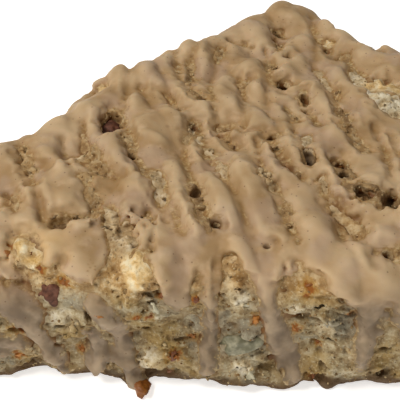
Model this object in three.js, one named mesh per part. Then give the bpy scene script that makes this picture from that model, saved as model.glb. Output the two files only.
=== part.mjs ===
// A carrot cake scone: one baked wedge of dough, an eighth of a round, with thick icing drizzled over it
// in parallel strands that run down its sides. The icing has set onto the dough, so both are one solid.
// Millimetres, +Z up. The front side faces -Y, the tip points to -X, and the origin is at the middle of
// the underside.
import * as THREE from 'three';
import { mergeVertices } from 'three/addons/utils/BufferGeometryUtils.js';

const { clamp, degToRad, lerp, smoothstep } = THREE.MathUtils;

// Driving dimensions of the wedge.
const ROUND_RADIUS = 128;
const WEDGE_ANGLE = degToRad(45);
const TIP = new THREE.Vector2(-66.5, -43.7);
const CORNER_ROUNDING = 9;
const SHOULDER_ROUNDING = 7;
const PLATEAU_HEIGHT = 30;
const TIP_SLUMP = 6;
const SLUMP_STARTS_X = -8;
const SLUMP_ENDS_X = -58;
const FRONT_SAG = 2.8;
const FRONT_SAG_REACH = 20;
const WALL_BULGE = 1.2;
const FOOT_TUCK = 0.8;
const FOOT_TUCK_HEIGHT = 4;

// Slow unevenness of the baked surface, as [wavelength, height] of each wave.
const CRAG_WAVES = [[31, 0.9], [17, 0.7], [9.5, 0.45]];

// Lumps of dough that stand out of the wedge, and dents between them: where each one swells, how wide it is
// and how far it stands out.
const LUMPS = [
  { at: [-23.4, -40.2, 26.4], spread: 2.2, rise: 2.8 },
  { at: [-19.6, -41.8, 25.8], spread: 2.2, rise: 3.6 },
  { at: [-14.3, -43.2, 25.2], spread: 2.3, rise: 4.4 },
  { at: [-10, -42, 26], spread: 1.8, rise: 3 },
  { at: [-16.8, -35.5, 27.8], spread: 3, rise: -2.2 },
  { at: [-4.9, -43.4, 25.5], spread: 2.5, rise: 3.4 },
  { at: [23.5, 41.4, 27], spread: 6.5, rise: 6 },
  { at: [13.5, 35, 29], spread: 5, rise: 3 },
  { at: [-14, 11.5, 28], spread: 7.5, rise: 4 },
  { at: [-19.5, 1, 24], spread: 3.4, rise: 2.2 },
  { at: [-25.5, -4.5, 27], spread: 3, rise: -1.4 },
  { at: [48, 18, 29], spread: 8, rise: 5 },
  { at: [37.5, 33, 28], spread: 5.5, rise: -2.2 },
  { at: [30.5, 36, 28], spread: 3.5, rise: 1.6 },
  { at: [42, 28, 29], spread: 8, rise: 1.6 },
  { at: [2, 23, 28], spread: 9, rise: 3 },
  { at: [52, -30, 25], spread: 6, rise: 2.4 },
  { at: [-40, -30, 22], spread: 5, rise: 1.8 },
  { at: [-4.8, -45, 0], spread: 2.2, rise: 3 },
  { at: [-22.3, -44, 0], spread: 3.4, rise: -1.8 },
  { at: [14, -45, 0], spread: 7, rise: 1.6 },
  { at: [-29, -44.5, 0], spread: 4, rise: 1 },
];

// Holes that were torn or left open in the top, as plan place, spread and depth.
const HOLES = [
  { at: [-11.9, -6.3], spread: 2.2, depth: 3.4 },
  { at: [24.6, -18.7], spread: 1.7, depth: 4 },
  { at: [30.3, -22], spread: 2, depth: 4.2 },
  { at: [38.2, -30], spread: 2.6, depth: 6 },
  { at: [21.2, 7.6], spread: 1.8, depth: 3 },
  { at: [24.7, 2], spread: 1.6, depth: 2.6 },
  { at: [20.8, 31.5], spread: 1.6, depth: 2.4 },
  { at: [-9, -38.7], spread: 1.4, depth: 3 },
  { at: [9, -38.6], spread: 1.4, depth: 2.4 },
];

// The drizzle runs along one heading, seen from above. A strand's place is its distance from the origin
// across that heading.
const DRIZZLE_HEADING = degToRad(-70);
const ACROSS = new THREE.Vector2(-Math.sin(DRIZZLE_HEADING), Math.cos(DRIZZLE_HEADING));
const FILM = 0.5;
const BEAD = 1.5;

// Each strand's place across the drizzle, half its width, and how far below the top it runs down the
// far sides.
const STRANDS = [
  { across: -54, half: 4.5, run: 12 },
  { across: -46.5, half: 4.5, run: 7 },
  { across: -39.5, half: 4.5, run: 15 },
  { across: -32, half: 5, run: 9 },
  { across: -25, half: 4.5, run: 13 },
  { across: -14.5, half: 4.5, run: 8 },
  { across: -8, half: 3.2, run: 16 },
  { across: -2.3, half: 3.2, run: 7 },
  { across: 3.6, half: 4, run: 11 },
  { across: 10.8, half: 4.2, run: 14 },
  { across: 18, half: 4.4, run: 8 },
  { across: 26.5, half: 4.8, run: 12 },
  { across: 34.5, half: 4.4, run: 9 },
  { across: 42.5, half: 4.6, run: 16 },
  { across: 50.5, half: 4.6, run: 10 },
];
const RUN_TAPER = 4;
const FRONT_RUN = 8;

// Drips that run down the front side: the places [x, z] that each one goes through, and half its width.
const DRIPS = [
  { path: [[-54, 20], [-51, 8]], half: 1.8 },
  { path: [[-44, 20], [-41, 10]], half: 1.9 },
  { path: [[-36, 20], [-33, 6]], half: 1.8 },
  { path: [[-32, 26], [-23, 22.5]], half: 2 },
  { path: [[-32, 20.5], [-21.5, 15.5]], half: 3.4 },
  { path: [[-24, 16], [-19.5, 8], [-17.4, 2.6]], half: 2.1 },
  { path: [[-31, 10.5], [-23, 8.6]], half: 1.8 },
  { path: [[-12, 12.5], [-11.4, 5], [-11.6, 2.4]], half: 2.2 },
  { path: [[-11, 19], [-7, 11], [-6.8, 6.5], [-4.4, 0.6]], half: 2.2 },
  { path: [[2, 26], [2.6, 17.8]], half: 2.2 },
  { path: [[7.6, 27], [8.2, 14], [7.4, 5.6]], half: 1.9 },
  { path: [[16.5, 26], [18.6, 15], [21.6, 6], [22.4, 3]], half: 2.5 },
  { path: [[34, 22], [33.6, 12], [33.4, 6]], half: 2.3 },
  { path: [[40, 20], [41, 11]], half: 1.9 },
  { path: [[47, 20], [48.5, 14], [48, 8]], half: 1.8 },
  { path: [[55, 18], [56, 9]], half: 1.8 },
];
const DRIP_BEAD = 1.6;

// Drips that run down the rounded outer side: the angle about the tip in degrees, half the width and the run.
const ARC_DRIPS = [
  { angle: 5, half: 2.2, run: 14 },
  { angle: 9.5, half: 1.8, run: 8 },
  { angle: 14, half: 2.3, run: 18 },
  { angle: 19, half: 2, run: 10 },
  { angle: 23.5, half: 2.4, run: 15 },
  { angle: 28, half: 1.9, run: 9 },
  { angle: 32.5, half: 2.3, run: 19 },
  { angle: 37, half: 2, run: 11 },
  { angle: 41.5, half: 2.2, run: 15 },
];

// Bare stretches between strands: the places [x, y] that each one goes through, and half its width.
const BARE_GAPS = [
  { path: [[-15.3, -15], [-10.5, -24.6]], half: 0.9 },
  { path: [[-14.6, -25.8], [-11.6, -34]], half: 1.1 },
  { path: [[-8.2, -13.5], [-6, -20.8]], half: 0.9 },
  { path: [[-2.4, -24], [-0.2, -31], [3, -38.6]], half: 0.9 },
  { path: [[4.3, -27.3], [8, -38.5]], half: 1 },
  { path: [[3.2, -8.5], [2.8, -13.6]], half: 1 },
  { path: [[5.7, -16.3], [9.9, -24.6]], half: 0.8 },
  { path: [[-28, -14], [-23, -27]], half: 1 },
  { path: [[-27.5, -27], [-25, -33]], half: 1 },
  { path: [[-9.6, -33], [-5.8, -41]], half: 1.5 },
  { path: [[18.4, -11.2], [22.8, -24]], half: 0.8 },
  { path: [[17, -25.6], [20.4, -33]], half: 0.8 },
  { path: [[31.5, -4], [34.9, -16]], half: 0.9 },
  { path: [[26.4, -24.5], [32.4, -37]], half: 0.9 },
  { path: [[0, 14], [0.6, 8]], half: 0.8 },
  { path: [[2.1, 14.5], [2.1, 6.5], [5.3, 0.3]], half: 0.8 },
  { path: [[31.2, 5], [32.3, -7]], half: 0.8 },
  { path: [[27, 15], [30, 6]], half: 0.9 },
  { path: [[-17.4, -16.5], [-14.9, -22]], half: 0.8 },
  { path: [[30.5, -26.5], [37, -29.6]], half: 1.4 },
  { path: [[29, -18.6], [31.6, -24.6]], half: 1 },
  { path: [[-36, -23], [-34, -30]], half: 0.9 },
  { path: [[-41.5, -24], [-39, -32]], half: 0.9 },
  { path: [[-48, -30], [-46.5, -37]], half: 0.9 },
  { path: [[44, -5], [47.5, -20]], half: 0.9 },
  { path: [[50, 1], [52.5, -10]], half: 0.9 },
  { path: [[53, -18], [55, -27]], half: 0.9 },
  { path: [[48, -28], [50, -37]], half: 0.9 },
];
const GAP_SHOULDER = 1.6;

// How finely the skin is divided, and the box inside the wedge from which it is blown up.
const LENGTH_STEPS = 56;
const WIDTH_STEPS = 34;
const HEIGHT_STEPS = 11;
const BOX_INSET = 3;
const BOX_NOSE = 7;
const SETTLING_STEPS = 12;
const SETTLING_SHARE = 0.5;
const PROBE = 0.05;

// The largest of several distances, with the corner between them rounded to a radius.
function roundedMax(distances, radius) {
  const outside = Math.hypot(...distances.map((d) => Math.max(d + radius, 0)));
  const inside = Math.min(Math.max(...distances) + radius, 0);
  return outside + inside - radius;
}

// Distances of a plan point outside the wedge's three sides.
function sideDistances(x, y) {
  const fromTipX = x - TIP.x;
  const fromTipY = y - TIP.y;
  const front = -fromTipY;
  const far = Math.cos(WEDGE_ANGLE) * fromTipY - Math.sin(WEDGE_ANGLE) * fromTipX;
  const arc = Math.hypot(fromTipX, fromTipY) - ROUND_RADIUS;
  return [front, far, arc];
}

// Height of the top, which sags towards the tip and towards the front side.
function topHeight(x, y) {
  const slump = TIP_SLUMP * smoothstep(-x, -SLUMP_STARTS_X, -SLUMP_ENDS_X);
  const sag = FRONT_SAG * (1 - smoothstep(y, TIP.y, TIP.y + FRONT_SAG_REACH));
  return PLATEAU_HEIGHT - slump - sag;
}

function crags({ x, y, z }) {
  let height = 0;
  for (const [wavelength, rise] of CRAG_WAVES) {
    const k = (2 * Math.PI) / wavelength;
    const swirl = Math.sin(k * z + 0.8 * Math.sin(k * y));
    height += rise * Math.sin(k * x + swirl) * Math.cos(0.9 * k * y + 0.7 * swirl);
  }
  return height;
}

function lumps(point) {
  let rise = 0;
  for (const lump of LUMPS) {
    const reach = point.distanceTo(new THREE.Vector3(...lump.at)) / lump.spread;
    rise += lump.rise * Math.exp(-reach * reach);
  }
  return rise;
}

function holes({ x, y }) {
  let depth = 0;
  for (const hole of HOLES) {
    const reach = Math.hypot(x - hole.at[0], y - hole.at[1]) / hole.spread;
    depth += hole.depth * Math.exp(-reach * reach);
  }
  return depth;
}

// Signed distance from the plain wedge, before lumps, crags and icing: negative inside it.
function wedgeDistance({ x, y, z }) {
  const bulge = WALL_BULGE * Math.sin(Math.PI * clamp(z / PLATEAU_HEIGHT, 0, 1));
  const tuck = FOOT_TUCK * Math.max(1 - z / FOOT_TUCK_HEIGHT, 0) ** 2;
  const wall = roundedMax(sideDistances(x, y), CORNER_ROUNDING) - bulge + tuck;
  return roundedMax([wall, z - topHeight(x, y)], SHOULDER_ROUNDING);
}

// Distance of a place from a path through places of the same plane.
function pathDistance(path, across, up) {
  const place = new THREE.Vector3(across, up, 0);
  const nearest = new THREE.Vector3();
  let distance = Infinity;
  for (let i = 1; i < path.length; i += 1) {
    const run = new THREE.Line3(new THREE.Vector3(...path[i - 1], 0), new THREE.Vector3(...path[i], 0));
    run.closestPointToPoint(place, true, nearest);
    distance = Math.min(distance, place.distanceTo(nearest));
  }
  return distance;
}

// How bare the drizzle is at a place: 1 in the middle of a gap between strands, 0 away from it.
function bareness(x, y) {
  let bare = 0;
  for (const gap of BARE_GAPS) {
    const reach = pathDistance(gap.path, x, y);
    bare = Math.max(bare, 1 - smoothstep(reach, gap.half, gap.half + GAP_SHOULDER));
  }
  return bare;
}

// How far a drip stands out at a place of the front side: round across, and nothing beyond its width.
function dripBead(drip, x, z) {
  const offset = pathDistance(drip.path, x, z) / drip.half;
  return DRIP_BEAD * Math.sqrt(Math.max(1 - offset * offset, 0));
}

// Height of a bead at a share of its half width from its middle, tapered to nothing where its run ends.
function beadHeight(offset, run, drop) {
  return BEAD * Math.max(1 - offset * offset, 0) * (1 - smoothstep(drop, run - RUN_TAPER, run));
}

// Height of the drips on the rounded outer side, which start at its shoulder.
function arcBead(x, y, arc, drop) {
  const angle = Math.atan2(y - TIP.y, x - TIP.x);
  const atEdge = smoothstep(arc, -SHOULDER_ROUNDING, -2);
  const heights = ARC_DRIPS.map((drip) => {
    const offset = ((angle - degToRad(drip.angle)) * ROUND_RADIUS) / drip.half;
    return beadHeight(offset, drip.run, drop);
  });
  return atEdge * Math.max(...heights);
}

// Thickness of the icing: a film over the top, a bead along each strand that runs over the edges, and drips.
function icingThickness({ x, y, z }) {
  const [front, far, arc] = sideDistances(x, y);
  const atFront = front > Math.max(far, arc);
  const drop = Math.max(topHeight(x, y) - z, 0);
  const across = x * ACROSS.x + y * ACROSS.y;
  const onTop = 1 - smoothstep(drop, 2, SHOULDER_ROUNDING);
  let bead = atFront ? 0 : arcBead(x, y, arc, drop);
  for (const strand of STRANDS) {
    const run = atFront ? FRONT_RUN : strand.run;
    bead = Math.max(bead, beadHeight((across - strand.across) / strand.half, run, drop));
  }
  const thickness = (bead + FILM * onTop) * (1 - bareness(x, y) * onTop);
  if (!atFront || front < -SHOULDER_ROUNDING) return thickness;
  return Math.max(thickness, ...DRIPS.map((drip) => dripBead(drip, x, z)));
}

// How far the scone's surface stands out from the plain wedge.
function relief(point) {
  return lumps(point) + crags(point) + icingThickness(point) - holes(point);
}

// Direction in which the distance from the plain wedge grows.
function outwards(point) {
  const rates = ['x', 'y', 'z'].map((axis) => {
    const before = point.clone();
    const after = point.clone();
    before[axis] -= PROBE;
    after[axis] += PROBE;
    return wedgeDistance(after) - wedgeDistance(before);
  });
  return new THREE.Vector3(...rates);
}

// A place in a unit box, bent into a smaller wedge that lies inside the plain one.
function bentPlace(u, v, w) {
  const apexShift = BOX_INSET / Math.sin(WEDGE_ANGLE / 2);
  const radius = lerp(BOX_NOSE, ROUND_RADIUS - apexShift - BOX_INSET, u);
  const angle = WEDGE_ANGLE * v;
  const x = TIP.x + apexShift * Math.cos(WEDGE_ANGLE / 2) + radius * Math.cos(angle);
  const y = TIP.y + BOX_INSET + radius * Math.sin(angle);
  return new THREE.Vector3(x, y, w * (topHeight(x, y) - BOX_INSET));
}

// Walks a place out to the plain wedge, then on to the scone's surface. The underside stays flat.
function settle(place, onUnderside) {
  const direction = new THREE.Vector3();
  for (let step = 0; step < SETTLING_STEPS; step += 1) {
    direction.copy(outwards(place));
    if (onUnderside) direction.z = 0;
    direction.normalize();
    place.addScaledVector(direction, -wedgeDistance(place));
  }
  const foot = place.clone();
  let rise = 0;
  for (let step = 0; step < SETTLING_STEPS; step += 1) {
    rise = lerp(rise, relief(place), SETTLING_SHARE);
    place.copy(foot).addScaledVector(direction, rise);
  }
  place.z = Math.max(place.z, 0);
  return place;
}

function sconeGeometry() {
  const box = new THREE.BoxGeometry(1, 1, 1, LENGTH_STEPS, WIDTH_STEPS, HEIGHT_STEPS);
  box.deleteAttribute('normal');
  box.deleteAttribute('uv');
  const skin = mergeVertices(box);
  const places = skin.getAttribute('position');
  for (let i = 0; i < places.count; i += 1) {
    const [u, v, w] = [places.getX(i) + 0.5, places.getY(i) + 0.5, places.getZ(i) + 0.5];
    const place = bentPlace(u, v, w);
    const onRim = u === 0 || u === 1 || v === 0 || v === 1;
    if (w > 0 || onRim) settle(place, w === 0);
    places.setXYZ(i, place.x, place.y, place.z);
  }
  skin.computeVertexNormals();
  return skin;
}

const icedDough = new THREE.MeshStandardMaterial({ color: 0xb08f68, roughness: 0.6, metalness: 0 });
const scone = new THREE.Mesh(sconeGeometry(), icedDough);
scone.name = 'scone';

const model = new THREE.Group();
model.add(scone);

export default model;
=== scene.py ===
"""Looks of a carrot cake scone: a torn, craggy wedge of dough under thick drizzled icing.

The dough and the icing are worked out on a fine grid from the wedge, lumps, holes and strands of the solid,
with crumb, pores, small dents and soft edges added. Sizes are in millimetres until a mesh is made.
"""
import itertools
import math

import bpy
import numpy as np
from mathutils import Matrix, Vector


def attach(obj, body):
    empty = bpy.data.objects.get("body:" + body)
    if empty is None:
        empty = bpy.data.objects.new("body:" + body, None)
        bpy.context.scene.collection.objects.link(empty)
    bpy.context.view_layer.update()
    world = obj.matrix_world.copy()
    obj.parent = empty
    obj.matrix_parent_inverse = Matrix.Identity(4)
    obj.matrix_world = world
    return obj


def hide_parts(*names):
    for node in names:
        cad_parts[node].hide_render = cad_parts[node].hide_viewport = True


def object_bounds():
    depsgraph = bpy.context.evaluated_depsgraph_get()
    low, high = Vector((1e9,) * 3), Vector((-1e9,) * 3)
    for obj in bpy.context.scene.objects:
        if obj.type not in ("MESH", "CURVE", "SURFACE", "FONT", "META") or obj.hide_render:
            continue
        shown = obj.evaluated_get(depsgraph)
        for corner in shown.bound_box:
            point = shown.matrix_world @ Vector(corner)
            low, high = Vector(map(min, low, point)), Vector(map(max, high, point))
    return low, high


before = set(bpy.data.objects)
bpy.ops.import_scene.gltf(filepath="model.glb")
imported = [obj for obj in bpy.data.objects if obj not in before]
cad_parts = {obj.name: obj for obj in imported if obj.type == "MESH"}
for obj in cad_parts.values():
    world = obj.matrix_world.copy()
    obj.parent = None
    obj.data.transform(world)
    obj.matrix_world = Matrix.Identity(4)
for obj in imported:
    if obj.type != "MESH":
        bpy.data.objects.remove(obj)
cad_low, cad_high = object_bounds()

MM = 0.001

# The grid: its step, the steps in a coarse cell, its border round the solid, how far from the surface its
# fields are exact, what the coarse cells add to find those places, and the value of fields further off.
STEP = 0.37
COARSE = 4
BORDER = 3.0
BAND = 2.8
COARSE_MARGIN = 2.5
FAR = 9.0

# The distance that a search for the nearest thing starts from.
NOTHING_NEAR = 99

# Random fields: the points on a side of their lattice, and what brings them to about -1 to 1.
LATTICE = 64
NOISE_GAIN = 1.6

# The wedge, as the solid has it, with a rounded edge at the foot added.
ROUND_RADIUS = 128
WEDGE_ANGLE = math.radians(45)
TIP = (-66.5, -43.7)
CORNER_ROUNDING = 9
SHOULDER_ROUNDING = 7
PLATEAU_HEIGHT = 30
TIP_SLUMP = 6
SLUMP_STARTS_X = -8
SLUMP_ENDS_X = -58
FRONT_SAG = 2.8
FRONT_SAG_REACH = 20
WALL_BULGE = 1.2
FOOT_TUCK = 0.8
FOOT_TUCK_HEIGHT = 4
FOOT_ROUNDING = 0.8

# Crags: waves as (wavelength, rise), and how much they bend, stretch and swirl.
CRAG_WAVES = ((31, 0.9), (17, 0.7), (9.5, 0.45))
CRAG_BEND = 0.8
CRAG_STRETCH = 0.9
CRAG_SWIRL = 0.7

# Lumps of dough, and dents between them: place, spread and rise.
LUMPS = (
    ((-22.4, -40.4, 26.4), 2.4, 2.8),
    ((-18.4, -41.8, 25.8), 2.4, 3.6),
    ((-13.2, -43.2, 25.2), 2.5, 4.4),
    ((-9, -42, 25.4), 1.8, 2.2),
    ((-20.3, -41.8, 26.8), 1.1, -0.6),
    ((-15.8, -43.2, 26.2), 1.2, -3),
    ((-12.4, -37.6, 27.5), 2.4, -1.8),
    ((-17.8, -35.5, 27.2), 1.1, -1.7),
    ((-16.2, -35.6, 27.2), 1.1, -1.7),
    ((-14.6, -35.5, 27.2), 1.1, -1.7),
    ((-13, -35.2, 27.1), 1.1, -1.7),
    ((-3.6, -43.4, 25.7), 2.5, 3.4),
    ((-7.4, -43.3, 25), 1.2, -1.6),
    ((23.5, 41, 28), 5.5, 5),
    ((13.5, 35, 29), 5, 3),
    ((-12.5, 12.5, 28), 6.5, 4.2),
    ((-19.5, 1, 24), 3.4, 2.2),
    ((-25, -2.5, 27.5), 3.4, -2.6),
    ((48, 18, 29), 8, 5),
    ((37.5, 33, 28), 5.5, -2.2),
    ((30.5, 36, 28), 3.5, 1.6),
    ((42, 28, 29), 8, 1.6),
    ((2, 23, 28), 9, 3),
    ((38, 9, 30.5), 4, 1.4),
    ((41.5, 3, 30), 3.4, 1.8),
    ((52, -30, 25), 6, 2.4),
    ((-40, -30, 22), 5, 1.8),
    ((-4.8, -45, 0), 2.2, 3),
    ((28.4, -44.6, 0.5), 1.3, 1.6),
    ((-22.3, -44, 0), 3.4, -1.8),
    ((14, -45, 0), 7, 1.6),
    ((21, -45, 0), 3, 1.5),
    ((5, -45, 0), 2.5, 1),
    ((-29, -44.5, 0), 4, 1),
)

# Pits in the top: plan place, half width, half length and depth.
PITS = (
    ((-11.9, -6.3), 1.9, 3.2, 3.5),
    ((-9, -37), 1.3, 0.8, 4),
    ((3.8, -7.6), 0.9, 1, 1.6),
    ((1, -3.2), 0.5, 0.6, 1.8),
    ((18.5, -11.7), 0.9, 1, 1.6),
    ((24.6, -18.7), 1.3, 1.6, 3),
    ((30.2, -20.5), 1.2, 2.4, 3),
    ((30.5, -23.6), 1.1, 1.3, 3.4),
    ((33.2, -28.6), 1.5, 1.2, 3),
    ((38.2, -30), 1.8, 2.7, 5.5),
    ((21.2, 7.6), 1.8, 1.3, 2.4),
    ((24.7, 2), 1, 1.4, 1.8),
    ((25, -1.5), 0.7, 0.7, 2),
    ((19, 13.8), 0.9, 1.4, 2.4),
    ((20.8, 31.5), 1.2, 1.3, 2.6),
    ((22.5, 17.5), 0.6, 0.8, 1.6),
    ((30.7, 23), 0.5, 0.9, 2),
    ((17, -40), 0.6, 0.4, 1.8),
    ((16.6, -25.6), 0.6, 0.6, 1.6),
    ((5.3, 0.3), 0.6, 0.6, 1.6),
    ((8.6, -36.4), 0.9, 0.9, 1.6),
    ((5, -29), 0.8, 1.5, 1.3),
    ((36.8, -40.6), 1.2, 0.5, 2.5),
    ((10, -7.5), 0.8, 0.7, 1.8),
    ((-6.7, -19.5), 0.6, 0.9, 1.5),
    ((-46, -33), 1, 1.2, 3),
    ((49, -12), 1.2, 1.6, 3.5),
)

# Cavities in the front side: place (x, z), half width, half height and depth.
CAVITIES = (
    ((24.6, 16.6), 1.4, 0.6, 0.6),
    ((-12, 16.5), 0.7, 1.2, 0.7),
    ((-3, 13.4), 1, 0.5, 0.8),
    ((-17.4, 13.4), 0.9, 0.5, 0.8),
    ((26, 10.4), 1.3, 0.4, 0.5),
    ((28.2, 11.8), 1, 0.4, 0.7),
    ((-23.3, 23), 0.8, 0.5, 1),
    ((37, 10.3), 1.1, 0.5, 0.9),
    ((-21, 6.6), 1.1, 0.5, 0.8),
    ((9.7, 21.2), 0.7, 0.6, 0.8),
    ((11.5, 14.4), 0.9, 0.6, 0.8),
    ((-25, 12.3), 1.5, 0.8, 1.1),
    ((31, 17.4), 0.7, 0.7, 0.8),
)

# The drizzle: its heading seen from above, the thickness of its film, of a strand's bead and of what gathers
# away from gaps, how it sways, and its strands by place across, half width and run down the far side.
DRIZZLE_HEADING = math.radians(-70)
ACROSS = (-math.sin(DRIZZLE_HEADING), math.cos(DRIZZLE_HEADING))
FILM = 0.5
BEAD = 1.1
PLATEAU = 0.5
PLATEAU_REACH = 2.4
STRAND_SWAY = 1.3
STRAND_SWAY_LENGTH = 14
LEAST_RUN = 4.0
STRANDS = (
    (-54, 4.5, 12),
    (-46.5, 4.5, 7),
    (-39.5, 4.5, 15),
    (-32, 5, 9),
    (-25, 4.5, 13),
    (-14.5, 4.5, 8),
    (-8, 3.2, 16),
    (-2.3, 3.2, 7),
    (3.6, 4, 11),
    (10.8, 4.2, 14),
    (18, 4.4, 8),
    (26.5, 4.8, 12),
    (34.5, 4.4, 9),
    (42.5, 4.6, 16),
    (50.5, 4.6, 10),
)

# Bare gaps between strands: places (x, y, half width) that each goes through, and its tone. Tone 1 is pale
# crumb, and -1 is dark and brown. The icing narrows them, and they end at a drop below the top.
GAPS = (
    (((-15.3, -15, 0.6), (-14.2, -18.5, 0.9), (-12.3, -22.5, 1), (-10.5, -24.6, 0.6)), -0.3),
    (((-11.8, -24.2, 0.5), (-8.5, -25.3, 0.4)), -0.8),
    (((-14.6, -25.8, 0.9), (-13.2, -29.5, 1.3), (-11.6, -34, 0.9)), -0.2),
    (((-8.2, -13.5, 0.6), (-6.8, -17.5, 1), (-6, -20.8, 0.7)), -0.4),
    (((-4.5, -22.5, 0.4), (-3.4, -26.5, 0.5)), -0.5),
    (((-2.4, -24, 1.1), (-1.2, -28, 1.5), (-0.2, -31, 0.9)), 0.4),
    (((0, -31.5, 0.6), (1.3, -34, 0.9), (3, -38.6, 0.6)), -0.3),
    (((4.3, -27.3, 0.6), (5.2, -30.5, 1.1), (6.2, -34, 1.1), (8, -38.5, 0.9)), -0.8),
    (((3.2, -8.5, 1), (3.6, -10.5, 1.4), (2.8, -13.6, 0.8)), 0.25),
    (((4.6, -12, 0.8), (7, -17, 1.1), (9.3, -22.2, 1.1), (9.9, -24.4, 0.6)), 0.35),
    (((8.6, -7.4, 0.9), (10.2, -7.8, 0.9)), -0.6),
    (((9, -9.5, 0.5), (10, -12, 0.5), (11.5, -15, 0.4)), -0.3),
    (((-28, -14, 0.9), (-26, -18, 1.2), (-24.5, -22, 0.9), (-23, -27, 0.5)), 0),
    (((-27.5, -27, 0.7), (-26.5, -30, 1.1), (-25, -33, 0.8)), -0.2),
    (((-9.6, -33, 0.9), (-8.4, -36, 1.5), (-6.4, -39, 1.9), (-5.2, -41, 1.4)), 0.3),
    (
        ((18.4, -11.2, 0.8), (18.2, -13.5, 0.6), (19.2, -17.5, 0.7), (20.5, -22, 0.8), (22.8, -24, 0.5)),
        -0.5,
    ),
    (((17, -25.6, 0.7), (18.2, -27.5, 1.1), (19.6, -29.3, 0.7)), 0.1),
    (((19.8, -30.5, 0.5), (20.4, -33, 0.6)), -0.4),
    (((20.6, -36, 0.4), (22.2, -39.6, 0.5)), -0.5),
    (((31.5, -4, 0.7), (31.8, -9, 0.9), (33.3, -11, 0.9), (35, -14.5, 1), (34.9, -16, 0.7)), -0.4),
    (((26.4, -24.5, 0.7), (27.3, -28.5, 1.1), (29, -31.4, 0.9)), 0.4),
    (((29, -31.4, 0.7), (31.2, -33.5, 1.1), (32.4, -37, 0.8)), -0.1),
    (((-0.4, 14, 0.5), (0, 11, 0.8), (0.6, 8, 0.5)), 0.5),
    (((2.1, 14.5, 0.5), (2.5, 10, 0.8), (2.1, 6.5, 0.8), (3.6, 1.5, 0.9), (5.3, 0.3, 0.6)), -0.4),
    (((8.6, 22, 0.7), (7.8, 18, 0.7)), -0.2),
    (
        ((-7.5, 5, 0.3), (-4.5, 4.1, 0.35), (-2, 3.2, 0.3), (-1, 2, 0.3), (-0.6, 0, 0.3), (0.8, -3, 0.4)),
        -0.5,
    ),
    (((12.2, 9.5, 0.5), (13, 7.6, 0.6), (14.4, 9, 0.5)), -0.2),
    (((21, 0, 0.5), (22, -3, 0.6), (23.5, -6, 0.5)), -0.6),
    (((26.5, -4, 0.5), (27, -7, 0.6)), -0.5),
    (((-17.4, -16.5, 0.6), (-16, -19.5, 0.9), (-14.9, -22, 0.6)), 0.3),
    (((24.7, -11, 0.5), (24.5, -15.5, 0.8)), 0.6),
    (((31.2, 5, 0.6), (31, 0, 0.9), (32, -3, 1), (32.3, -7, 0.7)), -1),
    (((27, 15, 0.6), (28.5, 12, 1), (29.4, 8.5, 0.9), (30, 6, 0.6)), 0.5),
    (((33, 18, 0.7), (35, 21, 0.8)), -0.3),
    (((36.4, 13, 0.5), (35.9, 8, 0.6)), -0.6),
    (((11, 25, 0.5), (15, 24, 0.6)), -0.1),
    (((20.5, 28, 0.5), (21, 24, 0.7), (20.6, 20, 0.5)), -0.1),
    (((33, 37, 0.6), (34.5, 31, 0.8)), 0),
    (((40, 27, 0.6), (41.5, 20, 0.9)), -0.2),
    (((-36, -23, 0.7), (-34, -30, 1)), 0.2),
    (((-41.5, -24, 0.6), (-39, -32, 1.1)), -0.3),
    (((-48, -30, 0.7), (-46.5, -37, 1)), 0.3),
    (((-55, -36, 0.6), (-54, -40, 0.8)), -0.2),
    (((44, -5, 0.7), (46, -14, 1.1), (47.5, -20, 0.7)), -0.3),
    (((50, 1, 0.6), (52.5, -10, 1)), 0.4),
    (((53, -18, 0.7), (55, -27, 1)), -0.2),
    (((42, -34, 0.6), (44, -41, 1)), 0.1),
    (((48, -28, 0.6), (50, -37, 1.1)), -0.4),
    (((56, -30, 0.6), (57, -37, 0.8)), 0.2),
    (((47, 10, 0.6), (48, 4, 0.8)), 0),
    (((36.2, 12, 1.5), (37, 8.4, 2), (37.8, 5.6, 1.7)), 0.8),
    (((38.6, 2.2, 1.9), (41, -0.4, 3.1), (44, -2.2, 2.7)), 1),
    (((30.5, -26.5, 0.8), (33.5, -28.2, 1.5), (37, -29.6, 1.6)), -0.9),
    (((29, -18.6, 0.6), (30.4, -21, 1.2), (31.6, -24.6, 1)), -0.8),
    # The crevice under the edge of the icing above the front ledge: its dark tone is partly crumb colour,
    # partly painted shadow of that overhang.
    (((-18.2, -35.1, 0.6), (-15.6, -35.2, 1), (-13, -34.9, 1), (-11.8, -34.7, 0.6)), -1),
)
GAP_NARROWING = 0.38
GAPS_END_DROP = 4

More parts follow.
